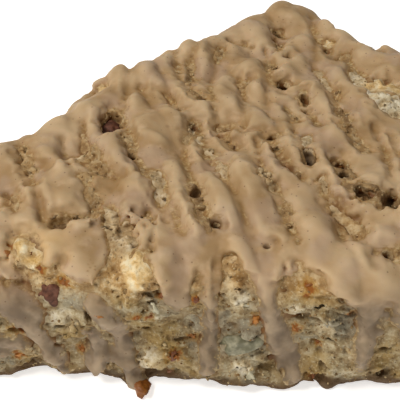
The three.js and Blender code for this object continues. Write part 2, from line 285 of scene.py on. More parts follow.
# Soft grooves between strands that the icing has closed over: places (x, y, half width), then their depth,
# where their sides start and end, and how far the icing reaches into them.
GROOVES = (
    ((-9.6, -4, 0.8), (-8.6, -9, 1), (-8.2, -13.5, 1)),
    ((2.4, -14.5, 0.8), (3, -20, 1.1), (4.2, -27, 1)),
    ((9.9, -24.6, 0.7), (12, -30, 1), (14, -36, 0.8), (15.2, -39, 0.5)),
    ((15.6, -13, 0.6), (16, -19, 0.9), (17, -25, 0.8)),
    ((22.4, -4, 0.8), (22.6, -10, 1.1), (23, -17, 0.9)),
    ((10.5, -10, 0.7), (13, -10.3, 0.9), (16.5, -10, 0.7)),
    ((28.8, -31, 0.7), (29.3, -38, 1)),
    ((35.2, 21, 0.8), (35.3, 14, 1.1), (35.6, 6, 0.9)),
    ((28.2, 37, 0.8), (29, 27, 1.1), (28, 17, 0.8)),
    ((17.8, 23, 0.8), (18.2, 14, 1), (17.6, 4, 0.8), (18.2, -6, 0.7)),
    ((-1.4, 26, 0.7), (-1.2, 19, 0.9), (-0.6, 12, 0.8)),
    ((3.6, 28, 0.7), (3, 20, 1), (2.1, 14.5, 0.8)),
    ((-10.2, 16, 0.8), (-9.8, 8, 1.1), (-9.6, -3, 0.8)),
    ((7.6, 18, 0.9), (6.8, 10, 1.2), (6.6, 2, 1), (8.6, -7, 0.8)),
    ((13.2, 7, 0.8), (13.2, 0, 1.1), (13.5, -9, 0.8)),
    ((20.4, -33, 0.6), (20.6, -36, 0.6)),
    ((32.4, -37, 0.8), (34, -43, 0.9)),
    ((-17, -7, 0.7), (-16.2, -11, 0.9), (-15.3, -15, 0.8)),
    ((-20.5, -12, 0.7), (-19, -17, 1), (-17.2, -23.5, 0.9), (-14.6, -26, 0.7)),
    ((-6, -20.8, 0.7), (-4.5, -22.5, 0.7), (-2.6, -27, 0.7)),
    ((-23, -27, 0.7), (-21, -33, 1), (-19.5, -37, 0.8)),
    ((37.5, -8, 0.8), (38.8, -16, 1), (38.5, -24, 0.8)),
    ((-33, -17, 0.7), (-31, -25, 1), (-29, -33, 0.9)),
    ((-45, -24, 0.8), (-43, -33, 1)),
    ((40, -10, 0.8), (41.5, -22, 1), (43, -33, 0.8)),
    ((54, -2, 0.8), (56.5, -14, 1)),
)
GROOVE_DEPTH = 0.85
GROOVE_SIDES = (-0.9, 1.1)
GROOVE_COVER = 2

# How far down the front the icing of the top reaches: height z at places along x.
FRONT_EDGE = (
    (-62, 14), (-50, 17), (-40, 16), (-30, 21.5), (-26, 25.5), (-21, 25.5), (-16.5, 24.5), (-14.5, 23),
    (-11, 22.5), (-9, 25.5), (-8, 27.5), (-1.2, 27.5), (0.3, 21), (4.5, 21), (5.5, 24.5), (9.6, 24.5),
    (9.9, 26.6), (11.4, 26.2), (13.2, 25), (15, 23.6), (18.6, 23.3), (19.6, 25.2), (22.5, 25.2),
    (26, 23.7), (30, 21), (33, 19.5), (36, 20), (40, 18), (48, 17), (60, 16),
)

# Drips down the front: places (x, z, half width) that each goes through, then their thickness, and how
# widely their thickness and their outline blend into the icing above.
DRIPS = (
    ((-54, 20, 2), (-52.5, 14, 1.7), (-51, 8, 1.4)),
    ((-44, 20, 2.2), (-42, 14, 1.8), (-41, 10, 1.4)),
    ((-36, 20, 2), (-34, 12, 1.7), (-33, 6, 1.4)),
    ((-32, 26, 3), (-27, 24, 1.6), (-23, 22.5, 1.2)),
    ((-32, 20.5, 4), (-25, 18, 3.6), (-21.5, 15.5, 2.6)),
    ((-24, 16, 2.8), (-21, 12, 2.2), (-19.5, 8, 1.9), (-18.4, 5, 1.8), (-17.4, 2.6, 1.5)),
    ((-31, 10.5, 2.4), (-26, 9.3, 1.8), (-23, 8.6, 1.3)),
    ((-31, 5, 1.8), (-27.5, 7, 1.5)),
    ((-12, 12.5, 1.4), (-11.4, 8.5, 2.5), (-11.4, 5, 2.4), (-11.6, 2.4, 1.5)),
    ((-11, 19, 2.4), (-8.4, 15.5, 2.6), (-7, 11, 2), (-6.8, 6.5, 2.3), (-5.2, 2.5, 1.7), (-4.4, 0.6, 1.4)),
    ((2, 26, 2.8), (2.6, 20, 2.1), (2.6, 17.8, 1.4)),
    ((7.6, 27, 2.2), (7.9, 21, 1.8), (8.2, 14, 1.7), (7.6, 9, 1.9), (7.4, 5.6, 1.5)),
    ((16.5, 26, 2.2), (17, 21, 2.1), (18.6, 15, 2.5), (20, 10, 3), (21.6, 6, 2.6), (22.4, 3, 1.6)),
    ((34, 22, 3.2), (33.8, 17, 2.3), (33.6, 12, 2.3), (33.4, 8, 1.9), (33.4, 6, 1.4)),
    ((40, 20, 2.2), (41, 11, 1.5)),
    ((47, 20, 2.2), (48.5, 14, 1.7), (48, 8, 1.4)),
    ((55, 18, 2), (56, 9, 1.4)),
)
DRIP_BEAD = 1.5
DRIP_BLEND = 2
DRIP_WEB = 2.5

# Drips down the rounded outer side: angle about the tip in degrees, half width and run, then how much they
# sway, in degrees, and how far the icing runs between them.
ARC_DRIPS = (
    (5, 2.2, 14),
    (9.5, 1.8, 8),
    (14, 2.3, 18),
    (19, 2, 10),
    (23.5, 2.4, 15),
    (28, 1.9, 9),
    (32.5, 2.3, 19),
    (37, 2, 11),
    (41.5, 2.2, 15),
)
ARC_SWAY = 0.6
ARC_SWAY_LENGTH = 9
LEAST_ARC_RUN = 5.0

# Spots that the icing leaves bare, as place and radius. The dough in them is golden.
GOLDEN_SPOTS = (
    ((-3.6, -44.6, 26.8), 2.4),
    ((-3.7, -45.2, 24.6), 1.6),
    ((40.5, 7.2, 31.2), 3),
    ((43, 5.2, 31.2), 2.1),
    ((-22.8, -40.4, 27.3), 2.2),
    ((-21.2, -42.6, 26), 1.7),
    ((31, 26, 30), 1.6),
    ((-15.5, 7, 29), 1.8),
    ((-25, 1, 24), 3),
    ((57, -4, 28), 1.7),
    ((54, -22, 27), 1.4),
)

# The icing over the golden ledge of the front is thinner and shows some of its colour: place and reach.
WARM_LEDGE = (-20.5, -41, 27)
WARM_CORE = 2
WARM_REACH = 7
LEDGE_THINNING = 0.4

# How the icing ends: noise of its edges as (wavelength, height), how ragged that makes them on the top and
# below, where the icing starts and is full, how deep its skin is buried in bare dough and elsewhere, how far
# it reaches over the rim of a pit, and how far above the floor it ends.
EDGE_NOISE = ((4.2, 0.45), (1.7, 0.45), (0.9, 0.45))
RAGGED_LEAST = -0.75
TOP_RAGGEDNESS = 0.8
LOWER_RAGGEDNESS = 1.1
EDGE_STARTS = -0.6
EDGE_ENDS = 2.3
BURIED = 1.4
BURIED_REACH = (-0.2, 1.6)
SKIN_INSIDE = 1.5
PIT_RIM = 0.05
ICING_LIFT = 0.1

# Torn crumb: noise of the dough's surface as (wavelength, height), and how much of it the icing follows on
# the top, on the sides and at thin edges. The crumb is rougher on walls and calmer at the foot.
CRUMB_NOISE = ((5.2, 0.5), (2.6, 0.34), (1.4, 0.3), (0.85, 0.3))
CRUMB_STRETCH = (0.65, 1, 1)
CLUMP_LEVEL = 0.8
ICING_FOLLOWS = (0.7, 0.35, 0.08, 0)
DRIPS_FOLLOW = (0.85, 0.4, 0.06, 0)
EDGE_FOLLOWS = 0.6
THIN_EDGE = (0.4, 1.2)
WALL_DROP = (3, 9)
WALL_ROUGHNESS = 1.5
ROUGHEST = 1.7
FOOT_ROUGHNESS = 0.3
CALM_FOOT_HEIGHT = 3.5
CRUMB_UNDER_ICING = 0.3
CRUMB_RISE = 0.1

# Golden dough: its rise, and its clusters and grain as (wavelength, height).
GOLDEN_RISE = 0.5
GOLDEN_CLUSTERS = (2.2, 1.1)
GOLDEN_GRAIN = (1.2, 0.3)

# Holes: noise of their walls as (wavelength, height), its share of a hole's radius, how far a hole is open,
# and the pores and tears at random places: how far they keep from icing, how near they are to the surface,
# and the height that they start at.
HOLE_NOISE = ((2.1, 0.6), (1.1, 0.4))
HOLE_RAGGEDNESS = 0.55
OPENING_REACH = 9
ALONG_X = (1, 0)
ALONG_FAR_SIDE = (math.cos(WEDGE_ANGLE), math.sin(WEDGE_ANGLE))
UPWARDS = (0, 0, 1)
FORWARDS = (0, -1, 0)
CLOSED = (0, 0, 0)
PORE_COUNT = 900
PORE_RADII = (0.3, 0.7)
PORE_STRETCH = (0.7, 1.4)
TEAR_COUNT = 70
TEAR_RADII = ((1.2, 0.5, 0.25), (3, 0.9, 0.45))
PORES_FROM_ICING = 0.4
PORES_FROM_SURFACE = 0.6
PORES_ABOVE = 2.5

# Hidden faces are merged, towards this number of triangles. Those that show stay, so more are left. Hidden
# are dough well under the icing and not in a hole, icing inside the dough, and the underside.
THINNED_TRIANGLES = 190000
HIDDEN_COVER = 2.2
HIDDEN_DEPTH = 1
ICING_INSIDE = 0.4
UNDERSIDE = 0.05

# Carrot shreds that show in the front side: place (x, z), length, width and lean in degrees, then their half
# sizes as a share of these, and half their depth.
CARROTS = (
    ((-19.5, 24.7), 1.9, 0.8, 10),
    ((-15.7, 22.8), 1.7, 1.2, 70),
    ((-14, 7.1), 1.9, 1, 95),
    ((-10, 18.2), 1.9, 0.7, 0),
    ((0.2, 21.5), 1.6, 1.3, 60),
    ((1.7, 8), 2.7, 1.3, 80),
    ((-4.2, 17.3), 1.3, 1, 80),
    ((-2, 17), 1.2, 0.8, 20),
    ((5, 11), 2, 1, 160),
    ((5.5, 20.3), 1.6, 1.1, 70),
    ((15.5, 15.5), 1.8, 1.4, 30),
    ((23.7, 23.2), 1.9, 0.9, 15),
    ((23.4, 21.7), 1.1, 0.8, 40),
    ((22, 14), 1.9, 1, 100),
    ((30.8, 17.6), 1.3, 0.9, 100),
    ((1.1, 2.4), 1.8, 1.2, 50),
    ((-25, 26), 1.9, 0.9, 150),
    ((-24.9, 5.8), 2.2, 1.1, 15),
    ((-24.4, 12.4), 2.4, 1.3, 10),
    ((25.6, 2.8), 1.7, 1.2, 90),
    ((26.2, 10.4), 1.3, 0.7, 30),
)
CARROT_HALF = 0.42
CARROT_DEPTH = 0.4

# Carrot shreds at random places of the other sides: number, places tried, half length, width and depth,
# how far below the top they start, and how far they keep from the front.
OTHER_CARROTS = 46
CARROT_TRIES = 400
CARROT_LENGTHS = (0.7, 1.4)
CARROT_WIDTHS = (0.35, 0.6)
OTHER_CARROT_DEPTH = 0.45
CARROTS_BELOW_TOP = 5
CARROTS_FROM_FRONT = 2

# A carrot shred that sticks out at the foot of a drip: place, half length, width and height, and heading.
TOE = (-3.9, -46.6, 1)
TOE_RADII = (2.5, 1.4, 0.9)
TOE_HEADING = -63

# Pale spots of the front crumb: place (x, z) and radius, then how pale they are. Spots and stains of the
# front colour the crumb to a depth.
FRONT_PALE = (
    ((-2.8, 7), 3.2),
    ((-16.5, 15.3), 2.6),
    ((12.6, 19.5), 2.2),
    ((21.5, 18.5), 1.8),
    ((13.5, 6), 2.5),
    ((27, 14.5), 2),
    ((-0.5, 18), 1.8),
)
PALENESS = 0.7
COLOURED_DEPTH = 6

# Raisins: place, and half its width, depth and height.
RAISINS = (
    ((-18.2, -43.8, 20.4), (1.8, 1.4, 1.9)),
    ((-11.9, -6.3, 27.4), (1.7, 2.8, 1.3)),
)

# Nut pieces in the front side: place (x, z), half length, half height, lean in degrees and tone, then their
# depth as a share of their height. The front leans back a little.
FRONT_NUTS = (
    ((13.7, 10.6), 3.6, 1.6, 8, 0.15),
    ((14, 18.4), 1.3, 0.5, 5, 0.8),
    ((-1.2, 19.1), 1.2, 0.5, 110, 0.7),
    ((14.8, 4), 1.1, 0.6, 95, 0.7),
)
NUT_DEPTH = 0.6
FRONT_NORMAL = (0, -1, 0.1)

# Loose grains of crumb, and how far they sink in.
GRAIN_COUNT = 4500
GRAIN_RADII = (0.12, 0.3)
GRAIN_STRETCH = (0.7, 1.4)
GRAIN_SUNK = 0.1

# Wrinkles of scattered bodies: their wavelength, and the shift that makes each body's own.
WRINKLE_LENGTH = 0.7
WRINKLE_SHIFT = 7

# The camera as the photograph has it: 36 degrees up, and 2 degrees round to the right of the front side.
CAMERA_AIM = Vector((5, -9, 14)) * MM
CAMERA_AZIMUTH = math.radians(2)
CAMERA_ELEVATION = math.radians(36)
CAMERA_DISTANCE = 190 * MM
CAMERA_LENS = 87.2
CAMERA_CLIP = 0.01

# Soft lights, by place and size in metres, watts and colour, and the light of the surround and the floor.
LIGHTS = {
    "key": ((-0.38, -0.2, 0.6), 0.26, 3.6, (1, 0.97, 0.93)),
    "fill": ((0.15, -0.6, 0.4), 0.5, 0.15, (0.95, 0.97, 1)),
}
SURROUND_STRENGTH = 0.26
FLOOR_SIZE = 6
FLOOR_GLOW = 0.7


def smoothstep(value, low, high):
    share = np.clip((value - low) / (high - low), 0, 1)
    return share * share * (3 - 2 * share)


def value_noise(points, wavelength, seed):
    """Smooth random field, mostly between -1 and 1, that changes over about one wavelength."""
    random = np.random.default_rng(seed)
    lattice = random.uniform(-1, 1, (LATTICE,) * 3).astype(np.float32)
    turn = np.linalg.qr(random.normal(size=(3, 3)))[0]
    scaled = (points @ turn.T / wavelength + random.uniform(0, LATTICE, 3)).astype(np.float32)
    cell = np.floor(scaled).astype(np.int32)
    part = scaled - cell
    part = part * part * (3 - 2 * part)
    total = np.zeros(len(points), np.float32)
    for corner in itertools.product((0, 1), repeat=3):
        index = (cell + corner) % LATTICE
        weight = np.where(corner, part, 1 - part).prod(1)
        total += weight * lattice[index[:, 0], index[:, 1], index[:, 2]]
    return NOISE_GAIN * total


def layered_noise(points, layers, seed):
    """Sum of noises given as (wavelength, height), with seeds that count up."""
    total = np.zeros(len(points), np.float32)
    for i, (wavelength, height) in enumerate(layers):
        total += height * value_noise(points, wavelength, seed + i)
    return total


def rounded_max(distances, radius):
    """The largest of several distances, with the corner between them rounded to a radius."""
    outside = sum(np.maximum(distance + radius, 0) ** 2 for distance in distances)
    inside = np.minimum(np.max(distances, 0) + radius, 0)
    return np.sqrt(outside) + inside - radius


def soft_max(first, second, reach):
    """The larger of two values, filled in a little where they are close."""
    close = np.maximum(reach - np.abs(first - second), 0)
    return np.maximum(first, second) + close**2 / (4 * reach)


def side_distances(x, y):
    """Distances of a plan point outside the wedge's front, far and arc sides."""
    from_tip_x = x - TIP[0]
    from_tip_y = y - TIP[1]
    far = math.cos(WEDGE_ANGLE) * from_tip_y - math.sin(WEDGE_ANGLE) * from_tip_x
    arc = np.hypot(from_tip_x, from_tip_y) - ROUND_RADIUS
    return -from_tip_y, far, arc


def near_front(x, y, margin=0):
    """Whether a plan point is nearest to the front side, or short of that by less than a margin."""
    front, far, arc = side_distances(x, y)
    return front > np.maximum(far, arc) - margin


def top_height(x, y):
    slump = TIP_SLUMP * smoothstep(-x, -SLUMP_STARTS_X, -SLUMP_ENDS_X)
    sag = FRONT_SAG * (1 - smoothstep(y, TIP[1], TIP[1] + FRONT_SAG_REACH))
    return PLATEAU_HEIGHT - slump - sag


def wedge_distance(x, y, z):
    bulge = WALL_BULGE * np.sin(math.pi * np.clip(z / PLATEAU_HEIGHT, 0, 1))
    tuck = FOOT_TUCK * np.maximum(1 - z / FOOT_TUCK_HEIGHT, 0) ** 2
    wall = rounded_max(side_distances(x, y), CORNER_ROUNDING) - bulge + tuck
    return rounded_max((wall, z - top_height(x, y)), SHOULDER_ROUNDING)


def crags(x, y, z):
    height = np.zeros_like(x)
    for wavelength, rise in CRAG_WAVES:
        k = 2 * math.pi / wavelength
        swirl = np.sin(k * z + CRAG_BEND * np.sin(k * y))
        height += rise * np.sin(k * x + swirl) * np.cos(CRAG_STRETCH * k * y + CRAG_SWIRL * swirl)
    return height


def squared_distance(x, y, z, place):
    return (x - place[0]) ** 2 + (y - place[1]) ** 2 + (z - place[2]) ** 2


def lumps(x, y, z):
    return sum(rise * np.exp(-squared_distance(x, y, z, place) / spread**2) for place, spread, rise in LUMPS)


def base_field(x, y, z):
    """Signed distance from the dough before its crumb: negative inside it."""
    return wedge_distance(x, y, z) - lumps(x, y, z) - crags(x, y, z)


def path_offset(path, u, v):
    """Distance outside a band through places (u, v, half width), negative within it."""
    nearest = np.full_like(u, NOTHING_NEAR)
    for (u0, v0, half0), (u1, v1, half1) in zip(path, path[1:]):
        run_u, run_v = u1 - u0, v1 - v0
        share = np.clip(((u - u0) * run_u + (v - v0) * run_v) / (run_u**2 + run_v**2), 0, 1)
        reach = np.hypot(u - u0 - share * run_u, v - v0 - share * run_v)
        nearest = np.minimum(nearest, reach - half0 - share * (half1 - half0))
    return nearest


def nearest_path(paths, u, v):
    return np.min([path_offset(path, u, v) for path in paths], 0)


def nearest_gap(x, y):
    """Distance outside the nearest bare gap, negative in it, and that gap's tone."""
    nearest = np.full_like(x, NOTHING_NEAR)
    tone = np.zeros_like(x)
    for path, gap_tone in GAPS:
        offset = path_offset(path, x, y)
        tone = np.where(offset < nearest, gap_tone, tone)
        nearest = np.minimum(nearest, offset)
    return nearest, tone


def nearest_pit(x, y):
    """Plan distance outside the nearest pit of the top, negative in it."""
    offsets = []
    for (at_x, at_y), half_x, half_y, _ in PITS:
        reach = np.hypot((x - at_x) / half_x, (y - at_y) / half_y)
        offsets.append((reach - 1) * min(half_x, half_y))
    return np.min(offsets, 0)


def golden_distance(x, y, z):
    """Distance outside the nearest golden spot, negative in it."""
    return np.min([np.sqrt(squared_distance(x, y, z, place)) - radius for place, radius in GOLDEN_SPOTS], 0)


def ledge_warmth(places):
    """How near a place is to the golden ledge of the front, from 0 to 1."""
    return 1 - smoothstep(np.linalg.norm(places - WARM_LEDGE, axis=1), WARM_CORE, WARM_REACH)


def strand_shape(x, y):
    """How high strands stand, from 0 to 1, and how far icing runs down the far and rounded sides."""
    level = np.stack([x.ravel(), y.ravel(), np.zeros(x.size)], 1)
    sway = STRAND_SWAY * value_noise(level, STRAND_SWAY_LENGTH, seed=11).reshape(x.shape)
    across = x * ACROSS[0] + y * ACROSS[1] + sway
    hump = np.zeros_like(x)
    run = np.full_like(x, LEAST_RUN)
    for place, half, strand_run in STRANDS:
        strand = np.maximum(1 - ((across - place) / half) ** 2, 0)
        hump = np.maximum(hump, strand)
        run = np.maximum(run, strand_run * np.sqrt(strand))
    turn = ARC_SWAY * value_noise(level, ARC_SWAY_LENGTH, seed=12).reshape(x.shape)
    angle = np.degrees(np.arctan2(y - TIP[1], x - TIP[0])) + turn
    arc_run = np.full_like(x, LEAST_ARC_RUN)
    for middle, half, drip_run in ARC_DRIPS:
        aside = np.radians(angle - middle) * ROUND_RADIUS / half
        arc_run = np.maximum(arc_run, drip_run * np.sqrt(np.maximum(1 - aside**2, 0)))
    front, far, arc = side_distances(x, y)
    return hump, np.where(arc > np.maximum(front, far), arc_run, run)


class Grid:
    """A regular grid over the part, with fields that are kept at its points."""

    def __init__(self):
        self.low = np.array(cad_low) / MM - BORDER
        size = np.array(cad_high) / MM + BORDER - self.low
        self.shape = tuple(COARSE * np.ceil(size / STEP / COARSE).astype(int))
        self.axes = [(self.low[i] + STEP * np.arange(self.shape[i])).astype(np.float32) for i in range(3)]

    def points(self, index):
        return np.stack([axis[i] for axis, i in zip(self.axes, index)], 1)

    def spread(self, index, values, elsewhere):
        """A field with values at some grid points and one value elsewhere."""
        field = np.full(self.shape, elsewhere, np.float32)
        field[index] = values
        return field

    def sample(self, field, places):
        """Values of a field at the grid points nearest to some places."""
        return field[tuple(self.index(places).T)]

    def index(self, places):
        """Index of the grid points nearest to some places."""
        index = np.rint((np.array(places) - self.low) / STEP).astype(int)
        return np.clip(index, 0, np.array(self.shape) - 1)

    def cut_below(self, field, level):
        """A field without what lies below a level, with a rounded edge there."""
        below = np.broadcast_to(level - self.axes[2], self.shape)
        return rounded_max((field, below), FOOT_ROUNDING)


def base_on_grid(grid):
    """The base field: exact near the surface, and only its sign further off."""
    middles = [axis[::COARSE] + STEP * (COARSE - 1) / 2 for axis in grid.axes]
    coarse = base_field(*np.meshgrid(*middles, indexing="ij"))
    for axis in range(3):
        coarse = np.repeat(coarse, COARSE, axis)
    base = np.where(coarse < 0, -FAR, FAR).astype(np.float32)
    near = np.nonzero(np.abs(coarse) < BAND + COARSE_MARGIN)
    base[near] = base_field(*grid.points(near).T)
    return base


def strand_thickness(hump, gap, beside_groove):
    """How thick the icing of the top is, away from its edges."""
    plateau = PLATEAU * (1 - np.exp(-np.maximum(gap, 0) / PLATEAU_REACH))
    groove = 1 - smoothstep(beside_groove, *GROOVE_SIDES)
    return FILM + BEAD * hump + plateau - GROOVE_DEPTH * groove


def icing_layer(grid, band, points, gold):
    """How far inside the icing's outline each place is, and how thick the icing is there."""
    i, j, k = band
    x, y, z = points.T
    plan = np.meshgrid(grid.axes[0], grid.axes[1], indexing="ij")
    front_plan = np.meshgrid(grid.axes[0], grid.axes[2], indexing="ij")
    gap = nearest_gap(*plan)[0] + GAP_NARROWING
    rim = nearest_pit(*plan) + PIT_RIM
    beside_groove = nearest_path(GROOVES, *plan)
    hump, run = strand_shape(*plan)
    thick = strand_thickness(hump, gap, beside_groove)
    ragged = np.maximum(layered_noise(points, EDGE_NOISE, seed=13), RAGGED_LEAST)
    drop = np.maximum(top_height(x, y) - z, 0)
    at_front = near_front(x, y)
    edge_x, edge_z = np.array(FRONT_EDGE).T
    lower_edge = np.where(at_front, z - np.interp(x, edge_x, edge_z), run[i, j] - drop)
    on_top = np.min([gap, rim, beside_groove + GROOVE_COVER], 0)[i, j]
    on_top = on_top + np.maximum(drop - GAPS_END_DROP, 0)
    cover = np.minimum(on_top, gold) + TOP_RAGGEDNESS * ragged
    cover = np.minimum(cover, lower_edge + LOWER_RAGGEDNESS * ragged)
    drips = nearest_path(DRIPS, *front_plan)[i, k]
    in_drip = np.where(at_front, TOP_RAGGEDNESS * ragged - drips, -FAR)
    dripping = smoothstep(in_drip - cover, -DRIP_BLEND, DRIP_BLEND)
    full = (1 - dripping) * thick[i, j] + dripping * DRIP_BEAD
    cover = soft_max(cover, in_drip, DRIP_WEB)
    thinned = 1 - LEDGE_THINNING * ledge_warmth(points)
    thickness = full * smoothstep(cover, EDGE_STARTS, EDGE_ENDS) * thinned
    return cover, thickness - BURIED * smoothstep(-cover, *BURIED_REACH)


def crumb_noise(points):
    """Roughness of the dough, coarse to fine. All but the coarsest are clumps with creases between."""
    stretched = points * CRUMB_STRETCH
    layers = []
    for i, (length, height) in enumerate(CRUMB_NOISE):
        layer = value_noise(stretched, length, seed=31 + i)
        layers.append(height * (layer if i == 0 else 2 * np.abs(layer) - CLUMP_LEVEL))
    return layers


def golden_height(points):
    """Small round clusters of golden dough."""
    (cluster, cluster_height), (grain, grain_height) = GOLDEN_CLUSTERS, GOLDEN_GRAIN
    between = cluster_height * np.abs(value_noise(points, cluster, seed=37))
    return GOLDEN_RISE - between + grain_height * value_noise(points, grain, seed=38)


def dough_relief(points, noises, gold, cover):
    """How far the crumb stands out of the base, less so under the icing."""
    calm_foot = FOOT_ROUGHNESS + (1 - FOOT_ROUGHNESS) * smoothstep(points[:, 2], 0, CALM_FOOT_HEIGHT)
    torn = np.clip(sum(noises), -ROUGHEST, ROUGHEST)
    roughness = calm_foot * ((1 - gold) * torn + gold * golden_height(points))
    bare = smoothstep(-cover, -1.6, 0)
    return (CRUMB_UNDER_ICING + (1 - CRUMB_UNDER_ICING) * bare) * roughness


def icing_relief(noises, side, thickness):
    """How much of the crumb shows through the icing, most of all at its thin edges."""
    thin_edge = 1 - smoothstep(thickness, *THIN_EDGE)
    draped = np.zeros_like(noises[0])
    for on_top, on_side, noise in zip(ICING_FOLLOWS, DRIPS_FOLLOW, noises):
        follows = on_top + side * (on_side - on_top)
        draped += (follows + thin_edge * np.maximum(EDGE_FOLLOWS - follows, 0)) * noise
    return draped


def carve(grid, field, hole, ragged):
    """Cuts an ellipsoid out of a gridded field: centre, radii, tangent in plan, and the way it opens."""
    centre, radii, tangent, opening = hole
    reach = np.max(radii) + 1
    ends = np.stack([centre - reach, centre + reach, centre + OPENING_REACH * np.array(opening)])
    first = np.maximum(((ends.min(0) - grid.low) / STEP).astype(int), 0)
    last = np.minimum(((ends.max(0) - grid.low) / STEP).astype(int) + 2, grid.shape)
    block = tuple(slice(a, b) for a, b in zip(first, last))
    offsets = [axis[part] - middle for axis, part, middle in zip(grid.axes, block, centre)]
    x, y, z = np.meshgrid(*offsets, indexing="ij")
    out = np.maximum(x * opening[0] + y * opening[1] + z * opening[2], 0)
    x, y, z = x - out * opening[0], y - out * opening[1], z - out * opening[2]
    lengthwise = (x * tangent[0] + y * tangent[1]) / radii[0]
    inwards = (-x * tangent[1] + y * tangent[0]) / radii[1]
    inside = (1 - np.sqrt(lengthwise**2 + inwards**2 + (z / radii[2]) ** 2)) * np.min(radii)
    inside = inside - HOLE_RAGGEDNESS * np.min(radii) * ragged[block]
    field[block] = np.maximum(field[block], inside)


def named_holes():
    """The pits of the top and the cavities of the front, ready to carve."""
    for (at_x, at_y), half_x, half_y, depth in PITS:
        floor = top_height(np.array(at_x), np.array(at_y)) - depth
        yield np.array((at_x, at_y, floor + half_x)), (half_x, half_y, half_x), ALONG_X, UPWARDS
    for (at_x, at_z), half_x, half_z, depth in CAVITIES:
        at_y = TIP[1] - WALL_BULGE / 2 + depth - half_z
        yield np.array((at_x, at_y, at_z)), (half_x, half_z, half_z), ALONG_X, FORWARDS


def random_pores(grid, exposed):
    """Round pores and flat tears at random places of the bare crumb."""
    random = np.random.default_rng(5)
    places = np.argwhere(exposed)
    picked = places[random.integers(0, len(places), PORE_COUNT + TEAR_COUNT)]
    for i, index in enumerate(picked):
        centre = grid.low + STEP * (index + random.uniform(-0.5, 0.5, 3))
        angle = random.uniform(0, 2 * math.pi)
        radius = PORE_RADII[0] + (PORE_RADII[1] - PORE_RADII[0]) * random.power(0.5)
        if i < PORE_COUNT:
            radii = radius * random.uniform(*PORE_STRETCH, 3)
            tangent = (math.cos(angle), math.sin(angle))
        else:
            radii = random.uniform(*TEAR_RADII)
            tangent = ALONG_X if near_front(centre[0], centre[1]) else ALONG_FAR_SIDE
        yield centre, radii, tangent, CLOSED


def build_fields(grid):
    """Gridded fields: the dough and the icing, negative inside, and what their colours need."""
    base = base_on_grid(grid)
    band = np.nonzero(np.abs(base) < BAND)
    points = grid.points(band)
    near = base[band]
    gold_offset = golden_distance(*points.T)
    gold = 1 - smoothstep(gold_offset, -0.6, 0.8)
    cover, thickness = icing_layer(grid, band, points, gold_offset)
    side = smoothstep(top_height(*points.T[:2]) - points[:, 2], *WALL_DROP)
    noises = crumb_noise(points)
    noises[0] = noises[0] * (1 + (WALL_ROUGHNESS - 1) * side)
    dough = base.copy()
    dough[band] = near - CRUMB_RISE - dough_relief(points, noises, gold, cover)
    skin = near - thickness - icing_relief(noises, side, thickness)
    icing = grid.spread(band, np.maximum(skin, -near - SKIN_INSIDE), FAR)
    ragged = grid.spread(band, layered_noise(points, HOLE_NOISE, seed=21), 0)
    torn = (cover < -PORES_FROM_ICING) & (gold < 0.5) & (points[:, 2] > PORES_ABOVE)
    exposed = grid.spread(band, torn & (np.abs(near) < PORES_FROM_SURFACE), 0)
    for hole in random_pores(grid, exposed):
        carve(grid, dough, hole, ragged)
    for hole in named_holes():
        carve(grid, dough, hole, ragged)
        carve(grid, icing, hole, ragged)
    return {
        "base": base,
        "dough": grid.cut_below(dough, 0),
        "icing": grid.cut_below(icing, ICING_LIFT),
        "cover": grid.spread(band, cover, -FAR),
        "thickness": grid.spread(band, thickness, 0),
    }


def surface_net(grid, field):
    """Vertices and quads of the surface where a gridded field passes zero. Quads face out of the inside."""
    inside = field < 0
    cells = np.array(field.shape) - 1
    corner_ids, crossings, quads = [], [], []
    for axis in range(3):
        unit = np.eye(3, dtype=int)[axis]
        edges = np.argwhere(np.diff(inside, axis=axis))
        start = field[tuple(edges.T)]
        end = field[tuple((edges + unit).T)]
        crossing = edges + (start / (start - end))[:, None] * unit
        across, up = (i for i in range(3) if i != axis)
        ring = []
        for step_across, step_up in ((0, 0), (1, 0), (1, 1), (0, 1)):
            cell = edges.copy()
            cell[:, across] -= step_across
            cell[:, up] -= step_up
            ring.append(np.ravel_multi_index(cell.T, cells))
            crossings.append(crossing)
        corner_ids.extend(ring)
        quad = np.stack(ring, 1)
        keep = (start < 0) ^ (axis == 1)
        quads.append(np.where(keep[:, None], quad, quad[:, ::-1]))
    used, compact = np.unique(np.concatenate(corner_ids), return_inverse=True)
    places = np.concatenate(crossings)
    counts = np.bincount(compact)
    vertices = np.stack([np.bincount(compact, places[:, i]) / counts for i in range(3)], 1)
    return vertices * STEP + grid.low, np.searchsorted(used, np.concatenate(quads))


def large_pieces(vertices, quads, least):
    """Leaves out loose scraps of fewer vertices than the least."""
    label = np.arange(len(vertices))
    while True:
        lowest = label[quads].min(1)
        new = label.copy()
        for i in range(4):
            np.minimum.at(new, quads[:, i], lowest)
        new = new[new]
        if np.array_equal(new, label):
            break
        label = new
    kept = np.bincount(label, minlength=len(label))[label] >= least
    renumber = np.cumsum(kept) - 1
    return vertices[kept], renumber[quads[kept[quads[:, 0]]]]


def smoothed(vertices, edges, rounds):
    """Moves each vertex halfway to the mean of its neighbours, for some rounds."""
    ends = edges.ravel()
    others = edges[:, ::-1].ravel()
    counts = np.maximum(np.bincount(ends, minlength=len(vertices)), 1)
    for _ in range(rounds):
        sums = [np.bincount(ends, vertices[others, i], len(vertices)) for i in range(3)]
        vertices = vertices + 0.5 * (np.stack(sums, 1) / counts[:, None] - vertices)
    return vertices


def quad_edges(quads):
    return np.stack([quads, np.roll(quads, -1, 1)], -1).reshape(-1, 2)


def places_of(mesh):
    """Vertex places of a mesh in millimetres."""
    flat = np.empty(3 * len(mesh.vertices), np.float32)
    mesh.vertices.foreach_get("co", flat)
    return flat.reshape(-1, 3) / MM


def normals_of(mesh):
    return np.array([normal.vector for normal in mesh.vertex_normals])


